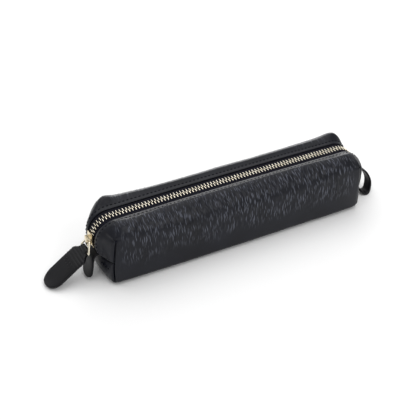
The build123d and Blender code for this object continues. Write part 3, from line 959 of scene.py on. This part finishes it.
def make_tongue():
    """The tab on the -X end, sewn into the end seam."""
    low, high = (np.array(corner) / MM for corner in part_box("end_tongue"))
    half = (high[1] - low[1]) / 2
    half_thickness = 0.85
    hang = 2.6  # towards the near side, at the tip
    tip = (low[0] + 0.7, 0.9)
    path = smooth_path([(-101.2, 18.0), (-104.6, 17.4), (-107.6, 14.6), (-110.3, 7.0), tip], 12)
    distance = distances(path)
    flare = 1 + 0.3 * smooth((distance - 5) / 8)
    widths = rounded_end(distance, distance[-1], half) * flare
    thick = np.full(len(path), half_thickness) * np.clip((distance[-1] - distance) / 0.5, 0.3, 1) ** 0.5
    points, faces = loft(strip_rings(path, widths, thick))
    points[:, 1] -= hang * np.clip((17 - points[:, 2]) / 12, 0, 1)
    piece = make_piece("tongue_leather", points, faces, strap_leather)
    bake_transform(piece)
    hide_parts("end_tongue")


def make_loop():
    """The hanging loop on the +X end: one strip, out of the end seam and back into it."""
    low, high = (np.array(corner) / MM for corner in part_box("hanging_loop"))
    half_thickness = 0.85
    hang = 8.5  # towards the near side, at the lowest point
    far_x = high[0] - 0.9
    out = [(101.2, 18.4), (106.0, 18.9), (113.2, 18.9), (far_x - 2.2, 15.4), (far_x, 8.9)]
    back = [(far_x - 2.8, 2.2), (113.8, 1.3), (109.6, 6.0), (106.4, 14.4), (101.2, 17.2)]
    path = smooth_path(out + back, 9)
    count = len(path)
    half = (high[1] - low[1]) / 2
    points, faces = loft(strip_rings(path, np.full(count, half), np.full(count, half_thickness)))
    share = np.clip((17 - points[:, 2]) / 17, 0, 1) * smooth((points[:, 0] - 106) / 6)
    points[:, 1] -= hang * share
    piece = make_piece("loop_leather", points, faces, strap_leather)
    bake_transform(piece)
    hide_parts("hanging_loop")


make_tongue()
make_loop()


def make_link():
    """The wire triangle, with its corners bent round."""
    top, base = 2.7, 7.0  # half widths
    reach = 1.3  # of the bends, from their corners
    corners = [np.array(c) for c in ((APEX[0], -top, APEX[1]), (APEX[0], top, APEX[1]),
                                     (BAR[0], base, BAR[1]), (BAR[0], -base, BAR[1]))]
    path = []
    for index, corner in enumerate(corners):
        before, after = corners[index - 1], corners[(index + 1) % len(corners)]
        start = corner + (before - corner) / np.linalg.norm(before - corner) * reach
        end = corner + (after - corner) / np.linalg.norm(after - corner) * reach
        for t in np.linspace(0, 1, 7):
            path.append(start * (1 - t) ** 2 + 2 * corner * t * (1 - t) + end * t**2)
    path = np.array(path)
    ahead = np.roll(path, -1, axis=0) - np.roll(path, 1, axis=0)
    ahead = ahead / np.linalg.norm(ahead, axis=1, keepdims=True)
    plane_normal = np.cross(corners[1] - corners[0], corners[2] - corners[1])
    plane_normal = plane_normal / np.linalg.norm(plane_normal)
    circle = superellipse(WIRE_RADIUS, WIRE_RADIUS, 2.0, 16)
    rings = [point + circle[:, :1] * np.cross(run, plane_normal) + circle[:, 1:] * plane_normal
             for point, run in zip(path, ahead)]
    points, faces = loft(rings, closed=True)
    piece = make_piece("link_wire", points, faces, gold)
    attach(piece, "link")
    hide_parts("pull_link")


make_link()


# ------------------------------------------------------------------ CAD nodes that keep their shape
for node_name in ("slider_body", "slider_bail", "zip_top_stops", "zip_bottom_stop"):
    for material_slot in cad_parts[node_name].material_slots:
        material_slot.material = slider_gold


# ------------------------------------------------------------------ floor, light and camera
def make_stage():
    """A plain pale floor and soft studio light."""
    bpy.ops.mesh.primitive_plane_add(size=8, location=(0, 0, 0))
    floor = bpy.context.object
    floor.name = "floor"
    material, _, _, shader = new_material("pale_floor")
    shader.inputs["Base Color"].default_value = (0.93, 0.93, 0.93, 1)
    shader.inputs["Roughness"].default_value = 0.9
    floor.data.materials.append(material)
    world = bpy.data.worlds.new("studio")
    bpy.context.scene.world = world
    world.use_nodes = True
    background = world.node_tree.nodes["Background"]
    background.inputs["Color"].default_value = (1, 1, 1, 1)
    background.inputs["Strength"].default_value = 0.5
    bpy.context.scene.view_settings.view_transform = "Standard"


def area_light(name, place, target, size, power):
    """A square soft light; lengths in metres, power in watts."""
    data = bpy.data.lights.new(name, "AREA")
    data.size = size
    data.energy = power
    light = bpy.data.objects.new(name, data)
    light.location = place
    light.rotation_euler = (Vector(target) - Vector(place)).to_track_quat("-Z", "Y").to_euler()
    bpy.context.scene.collection.objects.link(light)


def make_camera():
    """The viewing angle: from the -X, -Y side, looking down; lengths in metres."""
    azimuth = math.radians(27.526)
    elevation = math.radians(35.878)
    distance = 0.6175
    target = Vector((-0.0256, -0.0198, 0.0378))
    back = Vector((-math.sin(azimuth) * math.cos(elevation), -math.cos(azimuth) * math.cos(elevation),
                   math.sin(elevation)))
    data = bpy.data.cameras.new("camera")
    data.lens = 77.3
    data.sensor_width = 36
    data.clip_start = 0.01
    camera = bpy.data.objects.new("camera", data)
    camera.location = target + back * distance
    camera.rotation_euler = (-back).to_track_quat("-Z", "Y").to_euler()
    bpy.context.scene.collection.objects.link(camera)
    bpy.context.scene.camera = camera


make_stage()
area_light("overhead", (0.0, 0.2, 1.0), (0, 0, 0.02), size=1.5, power=9.2)
area_light("front", (0.2, -0.8, 0.6), (0, 0, 0.02), size=0.5, power=2.2)
area_light("rim", (0.45, 1.0, 0.15), (0, 0, 0.03), size=0.8, power=6.0)
make_camera()

bpy.context.view_layer.update()
